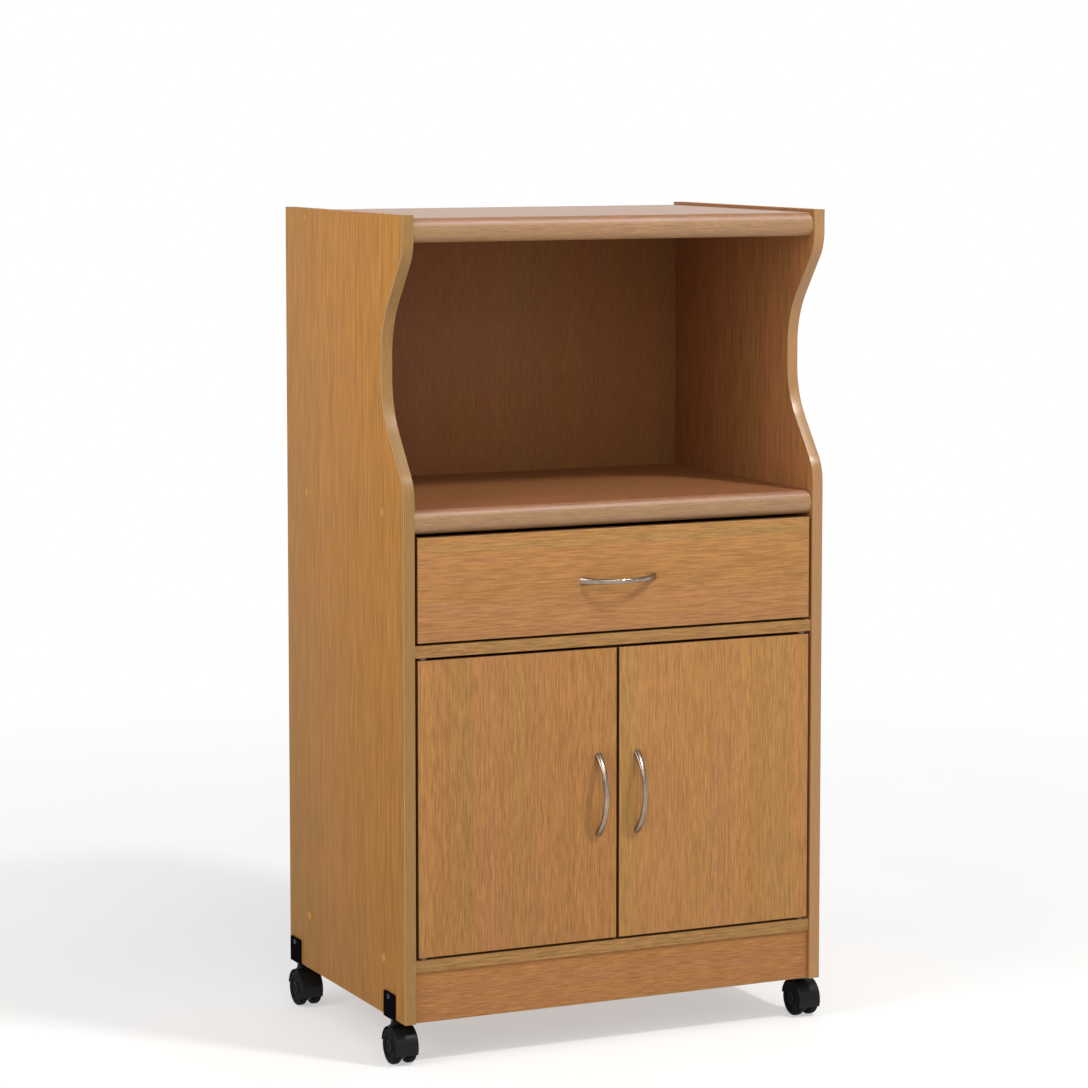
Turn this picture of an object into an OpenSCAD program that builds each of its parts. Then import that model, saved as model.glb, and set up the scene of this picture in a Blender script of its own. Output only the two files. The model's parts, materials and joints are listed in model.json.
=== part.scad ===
// Microwave cart: laminated-board cabinet on four twin-wheel casters, with an
// open bay under the top board, one drawer and a two-door cupboard.
// Millimetres. +Z up, front faces -Y, X to the right seen from the front.
// Origin: on the floor, under the middle of the bounding box.

/* [Carcass] */
// Width over the two side panels
cart_w = 585; // [560:5:640]
// Depth of the side panels
cart_d = 395; // [390:5:420]
// Height of the side panels
side_h = 1000; // [1000:5:1040]
// Thickness of side panels, doors, drawer front and plain boards
board_t = 15; // [15:0.5:16]
// Thickness of the front edges of the top board and of the microwave shelf
thick_t = 30; // [26:0.5:32]
// Depth of the thick part of their front edges
nose_d = 60; // [40:5:62]
// Radius of their rounded front edges
nose_r = 12; // [6:0.5:12.5]
// Height of the plinth
plinth_h = 64; // [60:1:66]
// Setback of the plinth behind the front edges
plinth_back = 5; // [3:1:8]
// Thickness of the back panels
back_t = 3; // [3:0.5:4]
// How far the side panels run past the back panels
back_inset = 4; // [3:1:6]

/* [Side panel curve] */
// Depth of the cut-back in the front edge
curve_d = 69; // [50:1:72]
// Height of the middle of the cut-back above the panel's lower end
curve_z = 811; // [805:1:815]
// Radius of the hollow arcs
curve_r1 = 110; // [100:1:115]
// Radius of the round arcs that lead into the straight edge
curve_r2 = 55; // [45:1:57]
// Slope of the straight stretch between the arcs, in degrees from vertical
curve_a = 37; // [36:0.5:38]
// Half height of the straight stretch at the deepest place
curve_h = 14; // [8:1:14]
// Thickness of the edging strip
edging_t = 1; // [0.6:0.1:1.5]

/* [Fronts] */
// Gap beside drawer front and doors
gap_side = 4; // [3.5:0.5:5]
// Gap above and below drawer front and doors
gap_z = 3.5; // [2.5:0.5:4]
// Gap between the two doors
gap_mid = 4; // [3:0.5:5]
// Setback of the fronts behind the side panels' front edges
front_back = 1; // [0:0.5:2]
// Height of the divider board's lower face
divider_z = 457; // [450:1:460]
// Height of the lower face of the microwave shelf's front edge
shelf_z = 609; // [600:1:611]

/* [Handles] */
// Distance between the handle's screws
bow_c = 96; // [96:32:128]
// How far the handle stands off the front
bow_out = 26; // [25:1:32]
// Thickness of the handle bar
bow_t = 6; // [5:0.5:7]
// Width of the handle bar
bow_w = 9; // [8:0.5:10]

/* [Drawer] */
// Length of the drawer's sides
drawer_l = 350; // [330:5:352]
// Thickness of the drawer's sides and back
drawer_t = 12; // [12:0.5:13]
// Height of the drawer's sides
drawer_h = 95; // [80:1:100]
// Room for the runner beside the drawer
runner_room = 12.5; // [12.5:0.1:13]

/* [Casters] */
// Height of the side panels' lower ends above the floor
floor_gap = 56; // [56:0.5:58]
// Diameter of the wheels
wheel_d = 46; // [44:0.5:46]
// Width of one wheel
wheel_w = 10.6; // [10:0.2:12]
// Gap between the two wheels
wheel_gap = 9; // [9:0.2:11]
// How far the hoods' front edge reaches below the axle
fender_drop = 9; // [6:0.5:10]
// Distance of the swivel axis behind the wheel axle
trail = 13; // [10:1:14]
// Swivel axis of the front casters behind the front edge
caster_y1 = 48; // [46:1:52]
// Swivel axis of the rear casters in front of the rear edge
caster_y2 = 23; // [22:1:30]

/* [Hidden] */
$fn = 64;

// Derived sizes. Cart coordinates: X from the left outer face, Y from the front
// edges of the side panels, Z from the lower ends of the side panels.
e = 0.01;
y_front = -(cart_d + front_back - bow_out) / 2;
in_w = cart_w - 2 * board_t;
back_y = cart_d - back_inset - back_t;   // inner face of the back panels
front_y = front_back;                    // face of the doors and drawer front
rear_y = front_y + board_t;              // their rear face
bottom_z = plinth_h;                     // bottom board, lower face
top_z = side_h - 4 - thick_t;            // top board's front edge, lower face
nose_back = 2;                           // setback of the rounded edges
door_z0 = bottom_z + board_t + gap_z;
door_z1 = divider_z - gap_z;
door_w = (in_w - 2 * gap_side - gap_mid) / 2;
draw_z0 = divider_z + board_t + gap_z;
draw_z1 = shelf_z - gap_z;
box_z0 = divider_z + board_t + 14;       // drawer sides, lower edge
box_x0 = board_t + runner_room;          // drawer's left side, outer face
groove = 5;                              // depth of the back panel grooves
back_split = shelf_z + thick_t - board_t / 2;   // joint of the back panels
screw_ys = [68, cart_d - 72];            // assembly screws along the depth
screw_zs = [bottom_z + board_t / 2, shelf_z + thick_t - board_t / 2,
            top_z + thick_t - board_t / 2];   // and up the side panels
dowel_ys = [60, cart_d - 65];
stem_x = board_t / 2;
stem_h = 24;                             // stem, above the panel's lower end
caster_ys = [caster_y1, cart_d - caster_y2];
pin_in = 8;                              // hinge pin from the door's edge
pin_y = front_y + board_t / 2;
mid_y = front_y + board_t / 2;
wheel_r = wheel_d / 2;
axle_z = -floor_gap + wheel_r;
wheel_c = (wheel_w + wheel_gap) / 2;     // centre of one wheel from the middle
roller_r = 9;
beech_side = [0.73, 0.53, 0.30];
beech = [0.72, 0.54, 0.34];
beech_nose = [0.79, 0.61, 0.46];
steel = [0.66, 0.65, 0.63];
nickel = [0.70, 0.68, 0.65];
black = [0.07, 0.07, 0.075];
white = [0.90, 0.89, 0.86];

// Moves a piece from cart coordinates to the part's frame.
module place() translate([-cart_w / 2, y_front, floor_gap]) children();
// Mirrors a left-hand piece to the right side of the cart.
module to_right() translate([cart_w, 0, 0]) mirror([1, 0, 0]) children();
// A profile drawn in Y and Z, carried along X from x0 over a length.
module along_x(x0, len) translate([x0, 0, 0]) rotate([90, 0, 90])
  linear_extrude(len) children();
// A round bar along X, or along Y.
module bar_x(x0, len, y, z, r) translate([x0, y, z]) rotate([0, 90, 0])
  cylinder(r = r, h = len);
module bar_y(y0, len, x, z, r) translate([x, y0, z]) rotate([-90, 0, 0])
  cylinder(r = r, h = len);
module board(x0, x1, y0, y1, z0, z1) translate([x0, y0, z0])
  cube([x1 - x0, y1 - y0, z1 - z0]);

// Front edge of a side panel: one upper half as points from the middle up,
// then mirrored. d moves the line into the board, for the edging's thickness.
curve_s = (curve_d - (curve_r1 + curve_r2) * (1 - cos(curve_a))) / sin(curve_a);
curve_e = curve_h + (curve_r1 + curve_r2) * sin(curve_a) + curve_s * cos(curve_a);
arc_n = 18;
function arc_up(d) = concat(
  [for (i = [0:arc_n]) let (a = curve_a * i / arc_n)
    [curve_d - curve_r1 + (curve_r1 + d) * cos(a),
     curve_h + (curve_r1 + d) * sin(a)]],
  [for (i = [arc_n:-1:0]) let (a = curve_a * i / arc_n)
    [curve_r2 - (curve_r2 - d) * cos(a),
     curve_e - (curve_r2 - d) * sin(a)]]);
function front_line(d) = let (u = arc_up(d), n = len(u)) concat(
  [[d, 0]],
  [for (i = [n - 1:-1:0]) [u[i][0], curve_z - u[i][1]]],
  [for (p = u) [p[0], curve_z + p[1]]],
  [[d, side_h]]);
function reversed(v) = [for (i = [len(v) - 1:-1:0]) v[i]];

module panel_outline() polygon(concat(front_line(edging_t),
  [[cart_d, side_h], [cart_d, 0]]));
module edging_outline() polygon(concat(front_line(0),
  reversed(front_line(edging_t))));

// Fasteners of the left side; the right side is their mirror image.
module assembly_screws_left() for (y = screw_ys, z = screw_zs) {
  bar_x(0, 2.5, y, z, 5);
  bar_x(2.5, board_t - 2.5, y, z, 3.5);
  bar_x(board_t, 35, y, z, 2.5);
}
module dowels_left() {
  for (y = dowel_ys) bar_x(board_t - 10, 30, y, divider_z + board_t / 2, 4);
  for (z = [18, plinth_h - 18]) {
    bar_x(board_t - 10, 30, plinth_back + board_t / 2, z, 3.5);
    bar_x(board_t - 10, 30, back_y - board_t / 2, z, 3.5);
  }
}
pin_z = 259.5;
pin_ys = [100, cart_d - 55];
module pin_holes_left() for (y = pin_ys, k = [-1:1])
  bar_x(board_t - 9, 9 + e, y, pin_z + 32 * k, 2.5);
module stem_bores_left() for (y = caster_ys)
  translate([stem_x, y, -e]) cylinder(r = 4, h = stem_h + e);
plate_w = 36;
plate_h = 31.5;
plate_screw_z = 26.5;
module plate_screw_holes_left() for (y = caster_ys)
  bar_x(-e, 12.4 + e, y, plate_screw_z, 1.6);
runner_screw_ys = [46, 190, 330];
runner_z = box_z0 - 2;                  // cabinet runner, lower edge
module runner_screws_left() for (y = runner_screw_ys) {
  bar_x(board_t - 11, 12.2, y, runner_z + 11, 1.6);
  bar_x(board_t + 1.2, 1.2, y, runner_z + 11, 3);
}

module side_panel_left() difference() {
  along_x(0, board_t) panel_outline();
  board(board_t - groove, board_t + 1, back_y, back_y + back_t, -1,
        side_h - 7);
  assembly_screws_left();
  dowels_left();
  pin_holes_left();
  stem_bores_left();
  plate_screw_holes_left();
  for (y = runner_screw_ys)
    bar_x(board_t - 11, 11 + e, y, runner_z + 11, 1.6);
}
module left_side_panel() color(beech_side) place() side_panel_left();
module right_side_panel() color(beech_side) place() to_right()
  side_panel_left();
module front_edgings() color(beech_side) place() {
  along_x(0, board_t) edging_outline();
  to_right() along_x(0, board_t) edging_outline();
}

// Board with a thickened and rounded front edge.
module nose_outline(z) translate([nose_back, z]) {
  translate([nose_r, thick_t - board_t])
    square([back_y - nose_back - nose_r, board_t]);
  translate([nose_r, 0]) square([nose_d - nose_r, thick_t]);
  translate([0, nose_r]) square([nose_r + 1, thick_t - 2 * nose_r]);
  for (h = [nose_r, thick_t - nose_r]) translate([nose_r, h])
    circle(r = nose_r);
}
module nosed_board(z) difference() {
  along_x(board_t, in_w) nose_outline(z);
  assembly_screws_left();
  to_right() assembly_screws_left();
}
module top_board() color(beech_nose) place() nosed_board(top_z);
module microwave_shelf() color(beech_nose) place() nosed_board(shelf_z);

// Flanged bushes for the doors' hinge pins, in the boards above and below.
bush_r = 4;
bush_l = 9;
pin_xs = [board_t + gap_side + pin_in, cart_w - board_t - gap_side - pin_in];
module bush_holes() for (x = pin_xs) {
  translate([x, pin_y, bottom_z + board_t - bush_l])
    cylinder(r = bush_r, h = bush_l + e);
  translate([x, pin_y, divider_z - e]) cylinder(r = bush_r, h = bush_l + e);
}
catch_y = rear_y + 1.8;
catch_w = 46;
module catch_screws() for (s = [-1, 1])
  translate([cart_w / 2 + s * 12, catch_y + 20, divider_z]) {
    translate([0, 0, -2.5]) cylinder(r = 1.6, h = 12.5);
    translate([0, 0, -3.7]) cylinder(r = 3, h = 1.2);
  }

module divider_board() color(beech) place() difference() {
  board(board_t, cart_w - board_t, 2, back_y, divider_z, divider_z + board_t);
  dowels_left();
  to_right() dowels_left();
  bush_holes();
  catch_screws();
}
module bottom_board() color(beech) place() difference() {
  board(board_t, cart_w - board_t, 2, back_y, bottom_z, bottom_z + board_t);
  assembly_screws_left();
  to_right() assembly_screws_left();
  bush_holes();
}
module front_plinth() color(beech) place() difference() {
  board(board_t, cart_w - board_t, plinth_back, plinth_back + board_t, 0,
        plinth_h);
  dowels_left();
  to_right() dowels_left();
}
module rear_plinth() color(beech) place() difference() {
  board(board_t, cart_w - board_t, back_y - board_t, back_y, 0, plinth_h);
  dowels_left();
  to_right() dowels_left();
}
module upper_back_panel() color(beech) place()
  board(board_t - groove, cart_w - board_t + groove, back_y, back_y + back_t,
        back_split + 1, side_h - 7);
module lower_back_panel() color(beech) place()
  board(board_t - groove, cart_w - board_t + groove, back_y, back_y + back_t,
        2, back_split);
module cupboard_shelf() color(beech) place()
  board(board_t + 1, cart_w - board_t - 1, 60, back_y - 2, pin_z + 2.5,
        pin_z + 2.5 + board_t);

module shelf_pins_left() for (y = pin_ys) {
  bar_x(board_t - 9, 17, y, pin_z, 2.5);
}
module shelf_pins() color(steel) place() {
  shelf_pins_left();
  to_right() shelf_pins_left();
}
module assembly_screws() color(steel) place() {
  assembly_screws_left();
  to_right() assembly_screws_left();
}
// Low round covers over the heads of the assembly screws.
module screw_covers_left() for (y = screw_ys, z = screw_zs)
  translate([0, y, z]) rotate([0, -90, 0]) rotate_extrude()
    polygon([[0, 0], [6, 0], [6, 0.3], [5.4, 0.8], [0, 0.8]]);
module screw_covers() color(beech_side) place() {
  screw_covers_left();
  to_right() screw_covers_left();
}
module wood_dowels() color([0.80, 0.68, 0.50]) place() {
  dowels_left();
  to_right() dowels_left();
}
// Bushes: a sleeve with a flange that keeps the door off the board.
module bush() rotate_extrude()
  polygon([[2.56, 0], [bush_r, 0], [bush_r, bush_l], [2.56, bush_l]]);
module bush_flange() rotate_extrude()
  polygon([[2.56, -gap_z + 0.4], [6, -gap_z + 0.4], [6, 0], [2.56, 0]]);
module bushes() for (x = pin_xs) {
  translate([x, pin_y, divider_z]) {
    bush();
    bush_flange();
  }
  translate([x, pin_y, bottom_z + board_t]) mirror([0, 0, 1]) {
    bush();
    bush_flange();
  }
}
module pivot_bushes() color([0.45, 0.30, 0.20]) place() bushes();

// Double magnetic catch under the divider board.
module magnetic_catch() color([0.45, 0.30, 0.20]) place() difference() {
  union() {
    board(cart_w / 2 - catch_w / 2, cart_w / 2 + catch_w / 2, catch_y,
          catch_y + 13, divider_z - 13, divider_z);
    board(cart_w / 2 - catch_w / 2, cart_w / 2 + catch_w / 2, catch_y,
          catch_y + 26, divider_z - 2.5, divider_z);
  }
  catch_screws();
}

// Caster plates: an angle over the lower edge of the side panel.
plate_t = 2;
module plate_left(y) difference() {
  translate([0, y + plate_w / 2, 0]) rotate([90, 0, 0]) linear_extrude(plate_w)
    polygon([[-plate_t, -plate_t], [25, -plate_t], [25, 0], [0, 0],
             [0, plate_h], [-plate_t, plate_h]]);
  translate([stem_x, y, -plate_t - 1]) cylinder(r = 4, h = plate_t + 2);
  bar_x(-plate_t - 1, plate_t + 2, y, plate_screw_z, 1.6);
}
module caster_plates() color(black) place() for (y = caster_ys) {
  plate_left(y);
  to_right() plate_left(y);
}
module plate_screws_left() for (y = caster_ys) {
  bar_x(-plate_t, 12.4 + plate_t, y, plate_screw_z, 1.6);
  translate([-plate_t, y, plate_screw_z]) rotate([0, -90, 0])
    rotate_extrude() polygon([[0, 0], [3.5, 0], [3.2, 0.8], [2.2, 1.5],
                              [0, 1.5]]);
}
// Small screws: caster plates, cabinet runners and the magnetic catch.
module small_wood_screws() color(steel) place() {
  plate_screws_left();
  runner_screws_left();
  to_right() {
    plate_screws_left();
    runner_screws_left();
  }
  catch_screws();
}
// Stem: pressed into the panel from below, with a shoulder under the plate.
stem_low = -20;
module stem(x, y) translate([x, y, 0]) {
  translate([0, 0, -plate_t - 1.8]) cylinder(r = 4, h = plate_t + 1.8 + stem_h);
  translate([0, 0, stem_low]) cylinder(r = 3, h = -stem_low - plate_t);
  translate([0, 0, -plate_t - 1.8]) cylinder(r = 7, h = 1.8);
}
module caster_stems() color(steel) place() for (y = caster_ys) {
  stem(stem_x, y);
  stem(cart_w - stem_x, y);
}

// Caster hood: a fender over both wheels, a web between them and a hub that
// turns on the stem. Drawn about the wheel axle, stem axis at +Y by the trail.
fender_in = wheel_r + 1;
fender_out = wheel_r + 2.2;
hood_w = 2 * wheel_w + wheel_gap;
web_t = wheel_gap - 1.2;
hub_top = -plate_t - 2.3 - axle_z;
module fender_outline() difference() {
  circle(r = fender_out);
  circle(r = fender_in);
  // the front edge reaches lower than the rear one
  translate([-50, -100 - fender_drop]) square([100, 100]);
  translate([0, -97]) square([100, 100]);
}
module web_outline() {
  circle(r = 18);
  intersection() {
    circle(r = fender_out);
    translate([-50, 3]) square([100, 100]);
  }
}
module hood() difference() {
  union() {
    along_x(-hood_w / 2, hood_w) fender_outline();
    along_x(-web_t / 2, web_t) web_outline();
    // hub, clear of the wheels below the fender
    difference() {
      translate([0, trail, 14]) cylinder(r = 6.6, h = hub_top - 14);
      rotate([0, 90, 0]) cylinder(r = fender_in, h = 60, center = true);
    }
  }
  // bores for the stem and for the axle
  translate([0, trail, stem_low - axle_z - 0.6]) cylinder(r = 3.06, h = 60);
  bar_x(-20, 40, 0, 0, 3.06);
}
module caster_at(x, y) place() translate([x, y - trail, axle_z]) children();
module hood_front_left() color(black) caster_at(stem_x, caster_ys[0]) hood();
module hood_front_right() color(black)
  caster_at(cart_w - stem_x, caster_ys[0]) hood();
module hood_rear_left() color(black) caster_at(stem_x, caster_ys[1]) hood();
module hood_rear_right() color(black)
  caster_at(cart_w - stem_x, caster_ys[1]) hood();

// Wheel: rounded tread, dished outer face, bore for the axle.
module wheel_outline() difference() {
  union() {
    translate([3, -wheel_w / 2 + 4]) square([wheel_r - 4 - 3, wheel_w - 8]);
    translate([3, -wheel_w / 2]) square([wheel_r - 4 - 3, wheel_w]);
    for (s = [-1, 1]) translate([wheel_r - 4, s * (wheel_w / 2 - 4)])
      circle(r = 4);
    translate([wheel_r - 5, -wheel_w / 2 + 4]) square([5, wheel_w - 8]);
  }
  translate([9, wheel_w / 2 - 1]) square([7, 2]);
}
module wheel() rotate([0, 90, 0]) rotate_extrude() wheel_outline();
module wheel_pair() {
  translate([wheel_c, 0, 0]) wheel();
  mirror([1, 0, 0]) translate([wheel_c, 0, 0]) wheel();
}
module wheel_axle() bar_x(-wheel_c - 4, 2 * wheel_c + 8, 0, 0, 3);
module wheels_front_left() color(black)
  caster_at(stem_x, caster_ys[0]) wheel_pair();
module wheels_front_right() color(black)
  caster_at(cart_w - stem_x, caster_ys[0]) wheel_pair();
module wheels_rear_left() color(black)
  caster_at(stem_x, caster_ys[1]) wheel_pair();
module wheels_rear_right() color(black)
  caster_at(cart_w - stem_x, caster_ys[1]) wheel_pair();
module wheel_axle_front_left() color(steel)
  caster_at(stem_x, caster_ys[0]) wheel_axle();
module wheel_axle_front_right() color(steel)
  caster_at(cart_w - stem_x, caster_ys[0]) wheel_axle();
module wheel_axle_rear_left() color(steel)
  caster_at(stem_x, caster_ys[1]) wheel_axle();
module wheel_axle_rear_right() color(steel)
  caster_at(cart_w - stem_x, caster_ys[1]) wheel_axle();

// Cabinet runner: web on the side panel, channel, and a fixed roller pin.
track_y0 = 40;
roller1_y = 28;
runner_l = drawer_l;
roller1_z = box_z0 + 22.6 - 0.3 - roller_r;
roller2_z = runner_z + 1.2 + 0.3 + roller_r;
roller2_y = rear_y + drawer_l - 14;
module cabinet_runner_left() difference() {
  union() {
    along_x(board_t, 1.2) translate([rear_y + 1, runner_z]) square([runner_l, 22]);
    board(board_t, board_t + 10.5, track_y0, rear_y + 1 + runner_l, runner_z,
          runner_z + 1.2);
    board(board_t, board_t + 10.5, track_y0, rear_y + 1 + runner_l,
          runner_z + 20.8, runner_z + 22);
    bar_x(board_t, 10, roller1_y, roller1_z, 2.5);
  }
  for (y = runner_screw_ys)
    bar_x(board_t - 1, 3, y, runner_z + 11, 1.6);
}
module left_cabinet_runner() color(white) place() cabinet_runner_left();
module right_cabinet_runner() color(white) place() to_right()
  cabinet_runner_left();
// Drawer runner: angle round the lower edge of the drawer's side with an
// outward flange that runs on the cabinet's roller, and a pin for its own.
flange_z = box_z0 + 22.6;
module drawer_runner_left() difference() {
  union() {
    board(box_x0 - 1.2, box_x0, rear_y + 1, rear_y + drawer_l,
          box_z0 - 1.2, flange_z + 1.2);
    board(box_x0 - 1.2, box_x0 + drawer_t, rear_y + 1, rear_y + drawer_l,
          box_z0 - 1.2, box_z0);
    board(box_x0 - 9.5, box_x0, rear_y + 1, rear_y + drawer_l, flange_z,
          flange_z + 1.2);
    bar_x(box_x0 - 9.7, 8.9, roller2_y, roller2_z, 2.5);
  }
  for (y = drawer_screw_ys)
    translate([box_x0 + drawer_t / 2, y, box_z0 - 2]) cylinder(r = 1.6, h = 3);
}
module left_drawer_runner() color(white) place() drawer_runner_left();
module right_drawer_runner() color(white) place() to_right()
  drawer_runner_left();
module roller(y, z) translate([board_t + 3.2, y, z]) rotate([0, 90, 0])
  rotate_extrude() polygon([[2.56, 0], [8.4, 0], [roller_r, 0.6],
    [roller_r, 5.6], [8.4, 6.2], [2.56, 6.2]]);
module left_front_roller() color(white) place() roller(roller1_y, roller1_z);
module right_front_roller() color(white) place() to_right()
  roller(roller1_y, roller1_z);
module left_rear_roller() color(white) place() roller(roller2_y, roller2_z);
module right_rear_roller() color(white) place() to_right()
  roller(roller2_y, roller2_z);

// Handle screws through a front, from its rear face.
module handle_screw(x, z, len) {
  bar_y(rear_y - len, len, x, z, 2);
  translate([x, rear_y, z]) rotate([-90, 0, 0]) rotate_extrude()
    polygon([[0, 0], [4, 0], [3.8, 1.2], [2.6, 2.2], [0, 2.2]]);
}
screw_len = board_t + 4;
// Bow handle: an arc of a flat bar, cut off at the face of the front. Drawn
// about its middle with the screws at +-bow_c/2 along X.
bow_chord = bow_c + 4;
bow_sag = bow_out - bow_t / 2;
bow_r = (pow(bow_chord / 2, 2) + pow(bow_sag, 2)) / (2 * bow_sag);
module bow() difference() {
  translate([0, bow_r - bow_sag, 0]) rotate([0, 0, 180 + 20])
    rotate_extrude(angle = 140, $fn = 96) translate([bow_r, 0]) {
      square([bow_t, bow_w - bow_t], center = true);
      for (s = [-1, 1]) translate([0, s * (bow_w - bow_t) / 2])
        circle(r = bow_t / 2);
    }
  translate([-100, 0, -50]) cube([200, 100, 100]);
  for (s = [-1, 1]) translate([s * bow_c / 2, -4, 0]) rotate([-90, 0, 0])
    cylinder(r = 2, h = 10);
}

drawer_mid_z = (draw_z0 + draw_z1) / 2;
door_mid_z = (door_z0 + door_z1) / 2;
handle_in = 25;                         // door handle from the middle gap
lhx = cart_w / 2 - gap_mid / 2 - handle_in;
module drawer_handle_screws_shape() for (s = [-1, 1])
  handle_screw(cart_w / 2 + s * bow_c / 2, drawer_mid_z, screw_len);
module door_screws_shape(x) for (s = [-1, 1])
  handle_screw(x, door_mid_z + s * bow_c / 2, screw_len);

bot_z = box_z0 + 6;                     // drawer bottom, lower face
dowel6_zs = [box_z0 + 30, box_z0 + drawer_h - 20];
module drawer_dowels_left() for (z = dowel6_zs)
  bar_y(rear_y - 8, 28, box_x0 + drawer_t / 2, z, 3);
drawer_screw_ys = [rear_y + 60, rear_y + drawer_l - 60];
module drawer_runner_screws_left() for (y = drawer_screw_ys)
  translate([box_x0 + drawer_t / 2, y, 0]) {
    translate([0, 0, box_z0 - 1.2]) cylinder(r = 1.6, h = 5.6);
    translate([0, 0, box_z0 - 2.6]) cylinder(r = 3, h = 1.4);
  }
module back_screws_left() for (z = [bot_z + 24, box_z0 + drawer_h - 18]) {
  bar_x(box_x0, drawer_t + 24, rear_y + drawer_l - drawer_t / 2, z, 1.75);
  bar_x(box_x0, 2, rear_y + drawer_l - drawer_t / 2, z, 3.2);
}

module drawer_front() color(beech) place() difference() {
  board(board_t + gap_side, cart_w - board_t - gap_side, front_y, rear_y,
        draw_z0, draw_z1);
  board(box_x0 + drawer_t - 5, cart_w - box_x0 - drawer_t + 5, rear_y - 5,
        rear_y + 1, bot_z, bot_z + 3);
  drawer_dowels_left();
  to_right() drawer_dowels_left();
  drawer_handle_screws_shape();
}
module drawer_side_piece_left() difference() {
  board(box_x0, box_x0 + drawer_t, rear_y, rear_y + drawer_l, box_z0,
        box_z0 + drawer_h);
  board(box_x0 + drawer_t - 5, box_x0 + drawer_t + 1, rear_y - 1,
        rear_y + drawer_l + 1, bot_z, bot_z + 3);
  drawer_dowels_left();
  drawer_runner_screws_left();
  back_screws_left();
}
module drawer_left_side() color(beech) place() drawer_side_piece_left();
module drawer_right_side() color(beech) place() to_right()
  drawer_side_piece_left();
module drawer_back() color(beech) place() difference() {
  board(box_x0 + drawer_t, cart_w - box_x0 - drawer_t,
        rear_y + drawer_l - drawer_t, rear_y + drawer_l, bot_z + 3,
        box_z0 + drawer_h);
  back_screws_left();
  to_right() back_screws_left();
}
module drawer_bottom() color(beech) place()
  board(box_x0 + drawer_t - 5, cart_w - box_x0 - drawer_t + 5, rear_y - 5,
        rear_y + drawer_l, bot_z, bot_z + 3);
module drawer_screws() color(steel) place() {
  drawer_runner_screws_left();
  back_screws_left();
  to_right() {
    drawer_runner_screws_left();
    back_screws_left();
  }
}
module drawer_dowels() color([0.80, 0.68, 0.50]) place() {
  drawer_dowels_left();
  to_right() drawer_dowels_left();
}
module drawer_handle() color(nickel) place()
  translate([cart_w / 2, front_y, drawer_mid_z]) bow();
module drawer_handle_screws() color(steel) place()
  drawer_handle_screws_shape();

// Doors, hung on pins at their outer edges.
pin_r = 2.5;
module door_pins_shape() {
  translate([pin_xs[0], pin_y, door_z0 - gap_z - bush_l + 1])
    cylinder(r = pin_r, h = gap_z + bush_l - 1 + 18);
  translate([pin_xs[0], pin_y, door_z1 - 18])
    cylinder(r = pin_r, h = gap_z + bush_l - 1 + 18);
}
strike_z = divider_z - 12;
module strike_shape() board(cart_w / 2 - gap_mid / 2 - 20,
  cart_w / 2 - gap_mid / 2 - 3, rear_y, rear_y + 1.4, strike_z - 1,
  divider_z - 4);
module door_left_piece() difference() {
  board(board_t + gap_side, board_t + gap_side + door_w, front_y, rear_y,
        door_z0, door_z1);
  door_pins_shape();
  door_screws_shape(lhx);
}
module left_door() color(beech) place() door_left_piece();
module right_door() color(beech) place() to_right() door_left_piece();
module door_bow(x) translate([x, front_y, door_mid_z]) rotate([0, 90, 0])
  bow();
module left_door_handle() color(nickel) place() door_bow(lhx);
module right_door_handle() color(nickel) place() door_bow(cart_w - lhx);
module left_door_screws() color(steel) place() door_screws_shape(lhx);
module right_door_screws() color(steel) place()
  door_screws_shape(cart_w - lhx);
module left_door_pins() color(steel) place() door_pins_shape();
module right_door_pins() color(steel) place() to_right() door_pins_shape();
module left_strike_plate() color(steel) place() strike_shape();
module right_strike_plate() color(steel) place() to_right() strike_shape();

left_side_panel();
right_side_panel();
front_edgings();
top_board();
microwave_shelf();
divider_board();
bottom_board();
front_plinth();
rear_plinth();
upper_back_panel();
lower_back_panel();
cupboard_shelf();
shelf_pins();
left_cabinet_runner();
right_cabinet_runner();
small_wood_screws();
pivot_bushes();
magnetic_catch();
caster_plates();
caster_stems();
assembly_screws();
screw_covers();
wood_dowels();
left_front_roller();
right_front_roller();
left_rear_roller();
right_rear_roller();
drawer_front();
drawer_left_side();
drawer_right_side();
drawer_back();
drawer_bottom();
drawer_handle();
drawer_handle_screws();
left_drawer_runner();
right_drawer_runner();
drawer_screws();
drawer_dowels();
left_door();
left_door_handle();
left_door_screws();
left_door_pins();
left_strike_plate();
right_door();
right_door_handle();
right_door_screws();
right_door_pins();
right_strike_plate();
hood_front_left();
hood_front_right();
hood_rear_left();
hood_rear_right();
wheels_front_left();
wheels_front_right();
wheels_rear_left();
wheels_rear_right();
wheel_axle_front_left();
wheel_axle_front_right();
wheel_axle_rear_left();
wheel_axle_rear_right();
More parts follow.
